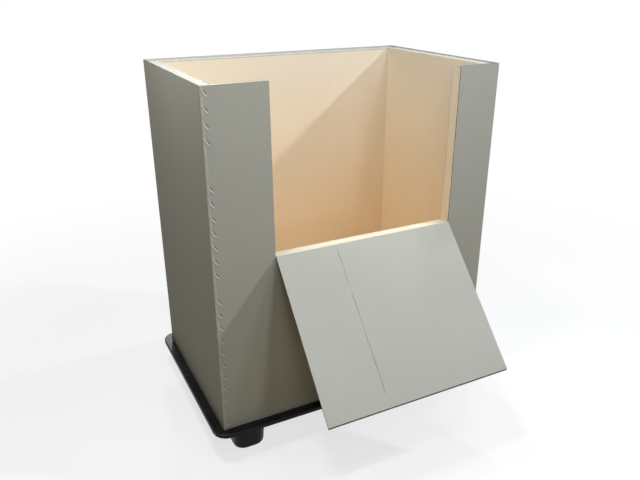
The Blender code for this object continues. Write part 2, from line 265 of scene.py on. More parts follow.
def fill_shader(shader, colour, height, depth, roughness, shine):
    """Give the shader its colour, a bump of a depth in metres, its roughness and its shine."""
    tree = shader.id_data
    bump = add_node(tree, "ShaderNodeBump", {"Strength": 1.0, "Distance": depth, "Height": height})
    for name, value in (("Base Color", colour), ("Normal", bump.outputs[0]), ("Roughness", roughness)):
        tree.links.new(value, shader.inputs[name])
    shader.inputs["Specular IOR Level"].default_value = shine


# %% [markdown]
# ## Shared effect: cloudy tone
#
# No sheet of plastic, paper or foam is one colour all over. Two sizes of soft noise, one about a hand wide
# and one about a fingertip wide, lift and lower the tone by a few per cent. The group gives out a number
# near 1 that a material multiplies its colour with.

# %% Cloudy tone group
FINER = 11.0
BROAD_SHARE, FINE_SHARE = 1.4, 0.6

cloudy_tone, inside, tone_out = new_group(
    "cloudy tone", {"Place": None, "Scale": 4.0, "Amount": 0.05}, "Tone")
broad = soft_noise(cloudy_tone, inside["Place"], inside["Scale"], 3.0, 0.55)
fine_scale = maths(cloudy_tone, "MULTIPLY", inside["Scale"], FINER)
fine = soft_noise(cloudy_tone, inside["Place"], fine_scale, 4.0, 0.6)
both = plus_part(cloudy_tone, maths(cloudy_tone, "MULTIPLY", broad, BROAD_SHARE), fine, FINE_SHARE)
swing = maths(cloudy_tone, "MULTIPLY", maths(cloudy_tone, "SUBTRACT", both, 1.0), inside["Amount"])
end_group(cloudy_tone, maths(cloudy_tone, "ADD", swing, 1.0), tone_out)

# %% [markdown]
# ## Shared effect: surface grain
#
# Close up, a moulded or extruded surface has a fine leather-like grain, and foam has cells. One noise and one
# cell pattern, mixed, serve both. The height that comes out goes into each material's own Bump node, and the
# same height loosens the gloss a little.

# %% Surface grain group
surface_grain, inside, height_out = new_group(
    "surface grain", {"Place": None, "Size": 0.002, "Cells": 0.0}, "Height")
per_metre = maths(surface_grain, "DIVIDE", 1.0, inside["Size"])
speckle = soft_noise(surface_grain, inside["Place"], per_metre)
cells = add_node(surface_grain, "ShaderNodeTexVoronoi",
                 {"Vector": inside["Place"], "Scale": per_metre}).outputs["Distance"]
mixed = add_node(surface_grain, "ShaderNodeMix", {0: inside["Cells"], 2: speckle, 3: cells})
end_group(surface_grain, mixed.outputs[0], height_out)

# %% [markdown]
# ## Shared effect: scuffs
#
# Boxes that travel get thin pale scratches. A noise squeezed hard along one direction makes long streaks, and
# only its highest crests are kept, so the marks stay sparse. Broad patches lower the level in places, so the
# marks come in clusters.

# %% Scuff group
STREAK_TURN, STREAK_STRETCH = (0.5, 0.35, 0.6), (9.0, 160.0, 70.0)
CREST_LEVEL, CREST_CONTRAST = 0.78, 14.0
PATCH_SCALE, PATCH_SHARE = 6.0, 0.3

scuffs, inside, mask_out = new_group("scuffs", {"Place": None, "Density": 0.3}, "Mask")
slanted = add_node(scuffs, "ShaderNodeMapping", {"Vector": inside["Place"], "Rotation": STREAK_TURN,
                   "Scale": STREAK_STRETCH}).outputs[0]
streaks = soft_noise(scuffs, slanted, 1.0)
patches = soft_noise(scuffs, inside["Place"], PATCH_SCALE, 1.0)
lowered_by = maths(scuffs, "MULTIPLY", inside["Density"], maths(scuffs, "MULTIPLY", patches, PATCH_SHARE))
crests = maths(scuffs, "SUBTRACT", streaks, maths(scuffs, "SUBTRACT", CREST_LEVEL, lowered_by))
end_group(scuffs, maths(scuffs, "MULTIPLY", crests, CREST_CONTRAST, clamp=True), mask_out)

# %% [markdown]
# ## Finish: grey fluted board
#
# The sleeve is extruded plastic board: two thin skins joined by upright webs, a flute every few millimetres.
# The skins sink a hair between the webs, which shows as the faintest upright lines. They follow `run`, so
# they go with the sheet round its folds. Where a point's wear number is high, the plastic is stretched or cut
# and turns paler.

# %% Grey board material
BOARD_GREY, STRETCHED_PALE = (0.418, 0.420, 0.384, 1), (0.62, 0.61, 0.56, 1)
LINE_DEPTH, WORN_SHARE = 0.000016, 0.25

grey_board, tree, shader = new_finish("grey fluted board")
place = object_place(tree)
tone = place_group(tree, cloudy_tone, Place=place, Scale=3.0, Amount=0.06)
marks = place_group(tree, scuffs, Place=place, Density=0.35)
grain = place_group(tree, surface_grain, Place=place, Size=0.0016)
worn = maths(tree, "ADD", point_number(tree, "wear_and_shade"), maths(tree, "MULTIPLY", marks, WORN_SHARE), clamp=True)
colour = blend_colour(tree, worn, toned(tree, BOARD_GREY, tone), STRETCHED_PALE)
wave = maths(tree, "COSINE", maths(tree, "MULTIPLY", point_number(tree, "run"), 2 * math.pi / FLUTE))
height = plus_part(tree, maths(tree, "MULTIPLY", wave, LINE_DEPTH), grain, 0.5 * LINE_DEPTH)
fill_shader(shader, colour, height, depth=1.0, roughness=plus_part(tree, 0.50, grain, 0.16), shine=0.05)
print("Finish", grey_board.name)

# %% [markdown]
# ## Finish: cut board
#
# A knife leaves the board's ends matt. The inside of the flutes gets painted shade, since little light gets in
# there. The cut faces get a material of their own, so that they can be chosen face by face. Points deep inside
# a flute carry a wear number below zero, and the finish is painted darker towards them.

# %% Cut board material
# The second colour is painted shade for the insides of the flutes.
CUT_GREY, FLUTE_PAINTED_SHADE = (0.26, 0.25, 0.225, 1), (0.02, 0.02, 0.018, 1)

cut_board, tree, shader = new_finish("cut board edge")
place = object_place(tree)
tone = place_group(tree, cloudy_tone, Place=place, Scale=30.0, Amount=0.25)
grain = place_group(tree, surface_grain, Place=place, Size=0.0009)
# Painted shade: darker towards the points deep in a flute.
painted_flute_shade = maths(tree, "MULTIPLY", point_number(tree, "wear_and_shade"), -1.0, clamp=True)
colour = blend_colour(tree, painted_flute_shade, toned(tree, CUT_GREY, tone), FLUTE_PAINTED_SHADE)
fill_shader(shader, colour, grain, depth=0.00008, roughness=plus_part(tree, 0.55, grain, 0.3), shine=0.5)
print("Finish", cut_board.name)

# %% [markdown]
# ## Finish: cream foam
#
# The insulation is closed-cell foam sawn into slabs. Sawn foam is matt and shows its cells, each a fraction
# of a millimetre to two millimetres wide, and it yellows slightly with age. The cell pattern of the grain
# group makes the pits, and cloudy tone makes the yellowing uneven. From a height up, the foam is painted greyer
# towards the sleeve's top: painted shade that holds back the strong light on the top edges. The edge that the
# shut flap covers lies lower and stays cream.

# %% Cream foam material
# The third colour is painted shade for the foam near the sleeve's top.
FOAM_CREAM, FOAM_PITS, FOAM_PAINTED_SHADE = (0.67, 0.645, 0.545, 1), (0.64, 0.605, 0.48, 1), (0.437, 0.434, 0.40, 1)
FOAM_SHADE_FROM = 0.9

cream_foam, tree, shader = new_finish("cream foam")
place = object_place(tree)
tone = place_group(tree, cloudy_tone, Place=place, Scale=7.0, Amount=0.07)
grain = place_group(tree, surface_grain, Place=place, Size=0.0016, Cells=0.8)
tint = blend_colour(tree, maths(tree, "MULTIPLY", grain, 0.5, clamp=True), FOAM_CREAM, FOAM_PITS)
# Painted shade: greyer towards the sleeve's top, against the strong light there.
shaded_towards_top = blend_colour(tree, towards_top(tree, z_part(tree, place), FOAM_SHADE_FROM), tint, FOAM_PAINTED_SHADE)
colour = toned(tree, shaded_towards_top, tone)
fill_shader(shader, colour, grain, depth=0.0004, roughness=plus_part(tree, 0.78, grain, 0.2), shine=0.08)
print("Finish", cream_foam.name)

# %% [markdown]
# ## Finish: tan facing
#
# The inside of the foam is faced with a thin tan board with a soft paper-like surface. Fibres lie mostly
# along the sheet, so a noise drawn out upright gives short fibre streaks, and the gloss is low. Towards the
# top of the walls the tan is painted cooler and less saturated: painted light for the cool light from above,
# against the warm bounce lower down. The sheet's top edges get painted shade, a dark grey that holds back the
# strong light on them. The upward part of the surface normal finds them, above the fold only, because the
# load floor faces up as well.

# %% Tan facing material
# The second colour is painted light near the top, the third painted shade on the top edges.
TAN_LOW, TAN_PAINTED_TOP_LIGHT, TAN_PAINTED_TOP_SHADE = (0.80, 0.63, 0.425, 1), (0.70, 0.625, 0.515, 1), (0.25, 0.232, 0.185, 1)
FIBRE_DARK, FIBRE_LIGHT = (0.96, 0.96, 0.96, 1), (1.04, 1.04, 1.04, 1)
FIBRE_STRETCH = (420.0, 420.0, 60.0)
TOP_LIGHT_FROM = 0.6
UPWARD = 0.3

tan_facing, tree, shader = new_finish("tan facing")
place = object_place(tree)
tone = place_group(tree, cloudy_tone, Place=place, Scale=2.5, Amount=0.05)
drawn_out = add_node(tree, "ShaderNodeMapping", {"Vector": place, "Scale": FIBRE_STRETCH}).outputs[0]
fibres = soft_noise(tree, drawn_out, 1.0, 3.0)
height = z_part(tree, place)
# Painted light: cooler and less saturated towards the top of the walls.
tint = blend_colour(tree, towards_top(tree, height, TOP_LIGHT_FROM), TAN_LOW, TAN_PAINTED_TOP_LIGHT)
# Painted shade: dark grey on the upward top edges above the fold.
painted_top_shade = maths(tree, "MULTIPLY", maths(tree, "GREATER_THAN", facing_up(tree), UPWARD),
            maths(tree, "GREATER_THAN", height, hinge_place.z))
sheet = blend_colour(tree, painted_top_shade, toned(tree, tint, tone), TAN_PAINTED_TOP_SHADE)
colour = toned(tree, sheet, blend_colour(tree, fibres, FIBRE_DARK, FIBRE_LIGHT))
fill_shader(shader, colour, fibres, depth=0.00006, roughness=plus_part(tree, 0.5, fibres, 0.15), shine=0.08)
print("Finish", tan_facing.name)

# %% [markdown]
# ## Finish: black pallet plastic
#
# The pallet is thermoformed from black polyethylene. It is nearly black, half glossy, finely grained from
# the mould, and it carries pale scuffs and dust where feet and forks touch it. Dust lies on faces that look
# up, and dulls them.

# %% Black plastic material
PALLET_BLACK, SCUFF_GREY, DUST = (0.006, 0.006, 0.007, 1), (0.09, 0.09, 0.09, 1), (0.20, 0.19, 0.17, 1)
LEVEL_FROM, PATCHES_FROM = 0.5, 0.42
DUST_SHARE, SCUFF_SHARE, DUST_DULLS = 0.25, 0.35, 0.8

pallet_black, tree, shader = new_finish("black pallet plastic")
place = object_place(tree)
tone = place_group(tree, cloudy_tone, Place=place, Scale=5.0, Amount=0.2)
marks = place_group(tree, scuffs, Place=place, Density=0.8)
grain = place_group(tree, surface_grain, Place=place, Size=0.0012)
settled = soft_noise(tree, place, 16.0, 5.0)
lying = maths(tree, "MULTIPLY", maths(tree, "SUBTRACT", facing_up(tree), LEVEL_FROM, clamp=True),
              maths(tree, "SUBTRACT", settled, PATCHES_FROM, clamp=True))
dust = maths(tree, "MULTIPLY", lying, DUST_SHARE, clamp=True)
black = toned(tree, PALLET_BLACK, tone)
scuffed = blend_colour(tree, maths(tree, "MULTIPLY", marks, SCUFF_SHARE), black, SCUFF_GREY)
gloss = plus_part(tree, plus_part(tree, 0.30, grain, 0.12), dust, DUST_DULLS)
colour = blend_colour(tree, dust, scuffed, DUST)
fill_shader(shader, colour, grain, depth=0.00010, roughness=gloss, shine=0.15)
print("Finish", pallet_black.name)

# %% [markdown]
# ## Finishing the solids
#
# Facings, the loose floor panel's boards and the pallet's two sheets already have their true shape. They
# stay, and only their material is changed, by filling the material slots of their objects. The solids that
# finer pieces will stand for get their finish in the same loop.

# %% Finish the solids
by_slot = {"cream_foam": cream_foam, "tan_liner": tan_facing, "black_plastic": pallet_black,
           "grey_board": grey_board}
for row in frame["record"]["subparts"]:
    for material_slot in nodes[row["node"]].material_slots:
        material_slot.link = "OBJECT"
        material_slot.material = by_slot[row["material_slot"]]
print("Finished", len(nodes), "solids")

# %% [markdown]
# ## Sawn foam slabs
#
# A saw never leaves a slab perfectly flat or its edges razor sharp. Each slab is therefore copied from its
# solid, its edges are broken with a small bevel, and planes cut it into strips whose points sink by a
# fraction of a millimetre, never outwards. The back slab sits a little lower in the board than the others.
# Beside the door's opening, the foam's side faces and its top faces get the tan finish: on the sides as painted
# warm shade, since the cream foam there lies in the warm light that bounces off the tan walls, and on the tops
# for the finish's painted top shade.

# %% Copy a solid
SAME_POINT, SAME_PLANE, SHARP = 1e-6, 0.002, 0.5


def copied_solid(node, drop, edge_round):
    """A copy of a solid's mesh with a lower top edge and all its edges broken by a small bevel."""
    bm = bmesh.new()
    bm.from_mesh(nodes[node].data)
    bmesh.ops.remove_doubles(bm, verts=bm.verts, dist=SAME_POINT)
    bmesh.ops.dissolve_limit(bm, angle_limit=SAME_PLANE, verts=bm.verts, edges=bm.edges)
    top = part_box(node)[1].z
    for vert in bm.verts:
        if vert.co.z > top - GAP:
            vert.co.z -= drop
    sharp = [edge for edge in bm.edges if edge.is_manifold and edge.calc_face_angle() > SHARP]
    bmesh.ops.bevel(bm, geom=sharp, offset=edge_round, segments=2, profile=0.5, affect="EDGES")
    return bm


# %% Soften the slabs
EDGE_ROUND = 0.0012
STRIP = 0.03
SAW_DEPTH, SAW_RIPPLE = 0.0005, 23.0
BACK_DROP = 0.0025
JAMBS_PAINTED_WARM_SHADE = {"front_left_foam": 1, "front_right_foam": -1}
SIDEWARD = 0.7


def sawn_slab(node):
    bm = copied_solid(node, BACK_DROP if node == "back_foam" else 0.0, EDGE_ROUND)
    low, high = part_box(node)
    for axis in range(3):
        across = Vector([float(k == axis) for k in range(3)])
        count = int((high[axis] - low[axis]) / STRIP)
        for i in range(1, count):
            everything = [*bm.verts, *bm.edges, *bm.faces]
            bmesh.ops.bisect_plane(bm, geom=everything, plane_co=low.lerp(high, i / count), plane_no=across)
    bm.normal_update()
    for vert in bm.verts:
        vert.co -= vert.normal * SAW_DEPTH * (0.5 + 0.5 * noise.noise(vert.co * SAW_RIPPLE))
    if node in JAMBS_PAINTED_WARM_SHADE:
        towards = JAMBS_PAINTED_WARM_SHADE[node]
        side = high.x if towards > 0 else low.x
        for face in bm.faces:
            middle = face.calc_center_median()
            at_side = abs(middle.x - side) < 2 * flare and face.normal.x * towards > SIDEWARD
            at_top = middle.z > high.z - 2 * EDGE_ROUND and face.normal.z > UPWARD
            # Painted shade: the jamb sides take the tan finish for their warm shade, the tops its painted top
            # shade.
            face.material_index = int(at_side or at_top)
    body = "floor_panel" if node == "floor_foam" else "sleeve"
    return add_piece(node.replace("foam", "slab"), bm, [cream_foam, tan_facing], body, [node])


for row in frame["record"]["subparts"]:
    if row["material_slot"] == "cream_foam":
        sawn_slab(row["node"])

# %% [markdown]
# ## The back wall's facing
#
# On the back wall the facing was glued on a few millimetres low, so a bright line of foam shows above it. A
# copy of the solid gets the lower top edge and a small bevel, and stands for it.

# %% Lower the back facing
FACING_DROP, FACING_ROUND = 0.0058, 0.0004
lowered_facing = copied_solid("back_liner", FACING_DROP, FACING_ROUND)
add_piece("back_facing", lowered_facing, [tan_facing], "sleeve", ["back_liner"])

# %% [markdown]
# ## The wrapped board
#
# One sheet of fluted board goes round the box. Its end starts at the front left corner, and after three folds
# its other end is tucked behind the start and welded on. The sheet is drawn as a row of stations, one for
# each web. Each station knows its outer and inner point seen from above and its distance along the sheet.

# %% Stations on a straight wall
def stations_on_line(start, end, inward, run):
    """Stations from start to end, without the end itself, and the run reached there."""
    length = (end - start).length
    count = max(1, round(length / FLUTE))
    points = []
    for i in range(count):
        spot = start.lerp(end, i / count)
        points.append((spot, spot + inward * BOARD, run + length * (i / count)))
    return points, run + length


# %% Stations along the whole sheet
FOLD_RADIUS = 0.005
FOLD_PIECES = 6
TUCK = 0.036


def sheet_stations():
    """The sheet's path seen from above: front, right side, back, left side and the tucked end."""
    r = FOLD_RADIUS
    tucked_y = -half_y + BOARD + GAP
    legs = (((-half_x, -half_y), (half_x - r, -half_y), (0, 1)),
            ((half_x, -half_y + r), (half_x, half_y - r), (-1, 0)),
            ((half_x - r, half_y), (-half_x + r, half_y), (0, -1)),
            ((-half_x, half_y - r), (-half_x, tucked_y + r), (1, 0)),
            ((-half_x + r, tucked_y), (-half_x + TUCK, tucked_y), (0, 1)))
    legs = [[Vector(spot) for spot in leg] for leg in legs]
    cuts = (Vector((door_left, -half_y)), Vector((door_right, -half_y)))
    found, run = [], 0.0
    for i, (start, end, inward) in enumerate(legs):
        stops = [start, *cuts, end] if i == 0 else [start, end]
        for a, b in zip(stops, stops[1:]):
            points, run = stations_on_line(a, b, inward, run)
            found += points
        if i < len(legs) - 1:
            next_inward = legs[i + 1][2]
            centre = end + inward * r
            for step in range(FOLD_PIECES):
                angle = math.pi / 2 * step / FOLD_PIECES
                outward = -inward * math.cos(angle) - next_inward * math.sin(angle)
                found.append((centre + outward * r, centre + outward * (r - BOARD), run))
                run += r * math.pi / 2 / FOLD_PIECES
        else:
            found.append((end, end + inward * BOARD, run))
    return found


stations = sheet_stations()
print(len(stations), "stations along", round(stations[-1][2], 3), "m of board")

# %% [markdown]
# ## Weld marks
#
# A hot horn pressed slanted marks through both layers at the front left corner. Each mark is a notch, and the
# plastic it pushed aside stands below it as a pale curved ridge about 25 mm long. Plastic also ran out along
# the sheet's start as an uneven bead. The outer skin there is a fine grid of points, and a function says how
# far each point is pressed in or pushed out. Such marks catch the light as the real ones do. Sines of odd
# wave numbers, which never fall in step, make the bead uneven without anything random.

# %% Places of the weld marks
WELD_PITCH = 0.048
WELD_END_GAP = 0.022
WELD_DROP, WELD_BEND, WELD_STEPS = 0.023, 1.6, 12
WELD_SPAN = (0.0050, 0.0215)
FAINT_WELDS, FAINT = (11, 19, 20), 0.15

first_weld = rim_top + WELD_END_GAP
weld_count = int((sleeve_top - 2 * WELD_END_GAP - rim_top) / WELD_PITCH) + 1
weld_heights = [first_weld + (sleeve_top - WELD_END_GAP - first_weld) * i / (weld_count - 1)
                for i in range(weld_count)]


def weld_line(height):
    """Points along one mark's curved middle line: steep at the corner, flatter towards its right end."""
    points = []
    for i in range(WELD_STEPS + 1):
        t = i / WELD_STEPS
        along = WELD_SPAN[0] + (WELD_SPAN[1] - WELD_SPAN[0]) * t
        points.append((along, height + WELD_DROP * (0.5 - (1 - (1 - t) ** WELD_BEND)), t))
    return points


def weld_force(number):
    """How hard one mark was pressed: the horn slips now and then."""
    return FAINT if number in FAINT_WELDS else 0.85 + 0.15 * math.sin(number * 2.3)


weld_lines = [weld_line(height) for height in weld_heights]
print(weld_count, "weld marks,", round(1000 * (weld_heights[1] - weld_heights[0]), 1), "mm apart")

# %% Shape of one weld mark
RIDGE_HALF_WIDTH, RIDGE_TAPER, RIDGE_RISE = 0.0048, 0.35, 0.0009
NOTCH_HALF_WIDTH, NOTCH_DEPTH, NOTCH_OFF = 0.0042, 0.0020, (0.0034, 0.0044)
NOTCH_SPAN = (0.25, 0.70)
SEAM_PLACE, SEAM_SWAY, SEAM_HALF_WIDTH, SEAM_RISE = 0.0052, 0.0006, 0.0040, 0.0009
RIDGE_BARE, SEAM_BARE = 0.4, 0.7


def rounded(distance, half_width):
    """A smooth hump: 1 on the middle line and 0 from the half width on."""
    return 0.5 * (1 + math.cos(math.pi * min(1.0, distance / half_width)))


def seam_rise(along, z):
    """The pale, uneven bead of plastic that ran out along the board's start, from 0 to 1."""
    across = max(0.0, 1 - abs(along - SEAM_PLACE - SEAM_SWAY * math.sin(z * 57.0)) / SEAM_HALF_WIDTH)
    return across * (0.55 + 0.3 * math.sin(z * 131.0) * math.sin(z * 29.0) + 0.15 * math.sin(z * 311.0))


def weld_press(along, z):
    """How far a point of the skin is pushed in (positive) or out, and how stretched it is, from 0 to 1."""
    bead = seam_rise(along, z)
    press, stretch = -SEAM_RISE * bead, SEAM_BARE * bead
    for number, line in enumerate(weld_lines):
        if abs(z - line[0][1] + WELD_DROP / 2) > WELD_DROP:
            continue
        distance, t = min((math.hypot(along - x, z - h), share) for x, h, share in line)
        ridge = rounded(distance, RIDGE_HALF_WIDTH * (1 - RIDGE_TAPER * t)) * weld_force(number)
        distance = min(math.hypot(along - x - NOTCH_OFF[0], z - h - NOTCH_OFF[1])
                       for x, h, share in line if NOTCH_SPAN[0] <= share <= NOTCH_SPAN[1])
        notch = rounded(distance, NOTCH_HALF_WIDTH) * weld_force(number)
        press += NOTCH_DEPTH * notch - RIDGE_RISE * ridge * (1 - notch)
        stretch = max(stretch, RIDGE_BARE * ridge) * (1 - notch)
    return press, stretch


print("Notches up to", 1000 * NOTCH_DEPTH, "mm deep, ridges up to", 1000 * RIDGE_RISE, "mm high")

# %% [markdown]
# ## Open ends of the flutes
#
# The board's open ends show its flutes as a row of small cells. For each pair of stations the sheet gets an
# outer skin, an inner skin and an end with a sunken cell between two webs. Such cells could be a picture on a
# flat edge, but real hollows stay right from every side. Their walls also carry painted shade, darkest at the
# cell's floor. The wrapped board and the flap share this function, because they are the same material.

# %% Draw one cell
SKIN = 0.0004
WEB = 0.0004
CELL_DEPTH = 0.012
# Painted shade: how dark a cell's mouth, a cut side's middle and a flute's deepest points are painted.
MOUTH_SHADE, SIDE_SHADE, DEEP_SHADE = -0.45, -0.55, -1.0
SHADE_FROM = 1.5


def draw_cell(bm, layers, outer_edge, inner_edge, chains):
    """The open end of one flute: a rim of skins and webs, and the cell's walls and floor below it, in painted
    shade.

    chains holds the points that already lie between an outer and an inner corner, where a cut side meets it.
    """
    o0, o1, i1, i0 = outer_edge[0], outer_edge[-1], inner_edge[-1], inner_edge[0]
    depth_0, depth_1 = (i0.co - o0.co).normalized(), (i1.co - o1.co).normalized()
    along = (o1.co - o0.co).normalized()
    floor_z = min(o0.co.z, i0.co.z) - CELL_DEPTH
    mouth, floor = [], []
    for corner, inward, side in ((o0, depth_0, 1), (o1, depth_1, -1), (i1, -depth_1, -1), (i0, -depth_0, 1)):
        place = corner.co + inward * SKIN + along * side * WEB / 2
        for ring, z, wear_and_shade in ((mouth, place.z, MOUTH_SHADE), (floor, floor_z, DEEP_SHADE)):
            ring.append(add_point(bm, layers, (place.x, place.y, z), corner[layers[0]], wear_and_shade))
    add_face(bm, [*outer_edge, mouth[1], mouth[0]], 1)
    add_face(bm, [o1, *chains.get((o1, i1), []), i1, mouth[2], mouth[1]], 1)
    add_face(bm, [*reversed(inner_edge), mouth[3], mouth[2]], 1)
    add_face(bm, [i0, *reversed(chains.get((o0, i0), [])), o0, mouth[0], mouth[3]], 1)
    for k in range(4):
        add_face(bm, [mouth[k], mouth[(k + 1) % 4], floor[(k + 1) % 4], floor[k]], 1)
    add_face(bm, floor, 1)


print("A cell is", round(1000 * (FLUTE - WEB), 1), "by", round(1000 * (BOARD - 2 * SKIN), 1), "mm wide")

# %% [markdown]
# ## Cuts along the flutes
#
# A cut that runs along the flutes lays one open. Beside the door's opening the flute's web is left, and a flat
# strip of painted shade between two exposed skins stands for it in shadow. On the flap the whole flute shows,
# down to its next web, which gets painted shade.


# %% Draw a cut side
def open_flute(bm, layers, outer_cut, outer_web, inner_cut, inner_web):
    """The flute that a knife cut open along a side: two exposed skins, with painted shade on the next web behind
    them.
    """
    rings = []
    for level in (0, 1):
        skin = (inner_cut[level].co - outer_cut[level].co).normalized() * SKIN
        ring = [outer_cut[level]]
        for corner, shift, wear_and_shade in ((outer_cut[level], skin, 0.0), (outer_web[level], skin, DEEP_SHADE),
                                    (inner_web[level], -skin, DEEP_SHADE), (inner_cut[level], -skin, 0.0)):
            ring.append(add_point(bm, layers, corner.co + shift, corner[layers[0]], wear_and_shade))
        rings.append([*ring, inner_cut[level]])
    add_strip(bm, *rings, 1)
    a, b, c, d, e, f = rings[1]
    add_face(bm, [a, outer_web[1], c, b], 1)
    add_face(bm, [inner_web[1], f, e, d], 1)


def cut_side(bm, layers, outer_cut, inner_cut):
    """The board's edge where a knife went up along a web: two exposed skins with a flat strip of painted shade
    between them.

    Returns the points between the corners of its lower and its upper end.
    """
    rows = []
    for outer_end, inner_end in zip(outer_cut, inner_cut):
        skin = (inner_end.co - outer_end.co).normalized() * SKIN
        row = [outer_end]
        shade = SHADE_FROM * skin
        for place, wear_and_shade in ((outer_end.co + skin, 0.0), (outer_end.co + shade, SIDE_SHADE),
                            (inner_end.co - shade, SIDE_SHADE), (inner_end.co - skin, 0.0)):
            row.append(add_point(bm, layers, place, outer_end[layers[0]], wear_and_shade))
        rows.append([*row, inner_end])
    add_strip(bm, *rows, 1)
    return {(row[0], row[-1]): row[1:-1] for row in rows}


# %% [markdown]
# ## Columns of points
#
# Columns of points stand at every station. A column has one point at the foot, one at the fold's height and
# one at the top, so that the pieces beside the flap's opening share points with the pieces below it. The
# opening widens towards the top, so the tops of the columns beside it lean away from it. The weld zone's
# outer skin gets extra columns and rows for its dents.

# %% Columns
FOLD_BARE = 0.22
WELD_FLUTES = 7


def column(bm, layers, xy, run, heights, wear_and_shade=0.0, spread=0.0):
    return [add_point(bm, layers, (xy.x + (spread if z == heights[-1] else 0.0), xy.y, z), run, wear_and_shade)
            for z in heights]


def lean(x):
    """How far the top of a column beside the opening leans away from it, from the weld zone or fold on."""
    left_start, right_end = -half_x + WELD_FLUTES * FLUTE, half_x - FOLD_RADIUS
    if left_start < x <= door_left + SIDE_GAP:
        return -flare * (x - left_start) / (door_left - left_start)
    if door_right - SIDE_GAP <= x < right_end:
        return flare * (right_end - x) / (right_end - door_right)
    return 0.0


def near_fold(outer_point):
    """Whether a station lies on one of the rounded folds, where the skin is stretched."""
    beyond = (abs(spot) > half - FOLD_RADIUS + GAP for spot, half in zip(outer_point, (half_x, half_y)))
    return all(beyond) and outer_point.x > -half_x + GAP


def on_front(station):
    """Whether a station lies on the front wall, and not on the tucked end behind it."""
    return abs(station[0].y + half_y) < SIDE_GAP and station[2] < 2 * half_x


# %% The weld zone's grid
CUT_PALE_AND_HIGHLIGHT, CUT_WIDTH = 0.55, 0.0018
GRID_PER_FLUTE = 4


def weld_zone(bm, layers, rows):
    """The skin's fine grid over the first flutes, pressed in by the weld marks. Returns its columns."""
    columns = []
    count = WELD_FLUTES * GRID_PER_FLUTE
    for i in range(count + 1):
        along = stations[WELD_FLUTES][2] * i / count
        # Painted pale along the sheet's cut start: whitened cut plastic, with a painted highlight of the edge.
        cut = max(0.0, 1 - along / CUT_WIDTH)
        made = []
        for j in range(rows + 1):
            z = sleeve_foot + (sleeve_top - sleeve_foot) * j / rows
            press, stretch = weld_press(along, z)
            if i in (0, count) or j in (0, rows):
                press = 0.0
            wear_and_shade = min(1.0, stretch + CUT_PALE_AND_HIGHLIGHT * cut)
            made.append(add_point(bm, layers, (-half_x + along, -half_y + press, z), along, wear_and_shade))
        columns.append(made)
    for left, right in zip(columns, columns[1:]):
        for face in add_strip(bm, left, right):
            face.smooth = True
    return columns


print("The weld zone's skin has", WELD_FLUTES * GRID_PER_FLUTE + 1, "columns of points")

# %% [markdown]
# ## Building the sleeve's board
#
# Now the strips between the columns are filled, one for each flute: skins, the foot's edge and the open cell
# at the top. Where the U for the flap is cut out, a strip ends just below the fold, and the two strips where
# that changes get a cut side.


# %% Build the wrapped board
def wrapped_board():
    bm, layers = new_sheet()
    heights = (sleeve_foot, hinge_place.z - SCORE / 2, sleeve_top)
    spreads = [lean(station[0].x) if on_front(station) else 0.0 for station in stations]
    outer = [column(bm, layers, o, run, heights, FOLD_BARE if near_fold(o) else 0.0, spread)
             for (o, i, run), spread in zip(stations, spreads)]
    inner = [column(bm, layers, i, run, heights, 0.0, spread)
             for (o, i, run), spread in zip(stations, spreads)]
    zone = weld_zone(bm, layers, 2 * round((sleeve_top - sleeve_foot) / (FLUTE / GRID_PER_FLUTE) / 2))
    lowered = [on_front(here) and door_left - SIDE_GAP < (here[0].x + after[0].x) / 2 < door_right + SIDE_GAP
               for here, after in zip(stations, stations[1:])]
    chains = {}
    for k in range(1, len(lowered)):
        if lowered[k] != lowered[k - 1]:
            chains.update(cut_side(bm, layers, outer[k][1:], inner[k][1:]))
    for k, low in enumerate(lowered):
        top = 1 if low else 2
        if k < WELD_FLUTES:
            edge = [zone[GRID_PER_FLUTE * k + j][-1] for j in range(GRID_PER_FLUTE + 1)]
        else:
            edge = [outer[k][top], outer[k + 1][top]]
            add_strip(bm, outer[k][:top + 1], outer[k + 1][:top + 1])
        add_strip(bm, inner[k][:top + 1], inner[k + 1][:top + 1])
        add_face(bm, [outer[k][0], inner[k][0], inner[k + 1][0], outer[k + 1][0]], 1)
        draw_cell(bm, layers, edge, [inner[k][top], inner[k + 1][top]], chains)
    add_face(bm, [*zone[0], *reversed(inner[0])], 1)
    add_face(bm, [*outer[-1], *reversed(inner[-1])], 1)
    close_sheet(bm)
    return add_piece("wrapped_board", bm, [grey_board, cut_board], "sleeve", ["outer_board"])


wrapped_board()

# %% [markdown]
# ## The flap's crushed flute
#
# The flap is the piece cut out of the front, still joined to it by the outer skin along the fold. A crushed
# flute runs down its inner face as a thin wavering line. That face is a fine grid near the line, and the
# points there are pressed in by an uneven amount.

# %% Shape of the crushed flute
CREASE_SHARE = 0.315
CREASE_REACH = 0.556
CREASE_HALF_WIDTH, CREASE_DEPTH = 0.0024, 0.0028
CREASE_FADE, CREASE_SKIPS = 0.03, ((0.165, 0.022, 0.85), (0.31, 0.012, 0.5))
CREASE_STEP, CREASE_COLUMNS, CREASE_ROW = 0.0007, 9, 0.004
grid_reach = CREASE_STEP * CREASE_COLUMNS


def crease_wander(z):
    """Sideways shift of the line at a height above the fold."""
    return 0.0007 * math.sin(z * 31.0) + 0.0004 * math.sin(z * 83.0 + 1.3)


def crease_press(z):
    """How deep the flute is crushed at a height: deeper and shallower by turns, and nothing past its end."""
    fade = min(1.0, max(0.0, (CREASE_REACH - z) / CREASE_FADE)) * min(1.0, max(0.2, z / 0.02))
    left = 1 - sum(share * math.exp(-((z - middle) / width) ** 2) for middle, width, share in CREASE_SKIPS)
    return CREASE_DEPTH * fade * left * (0.8 + 0.2 * math.sin(z * 47.0 + 0.4) * math.sin(z * 19.0))


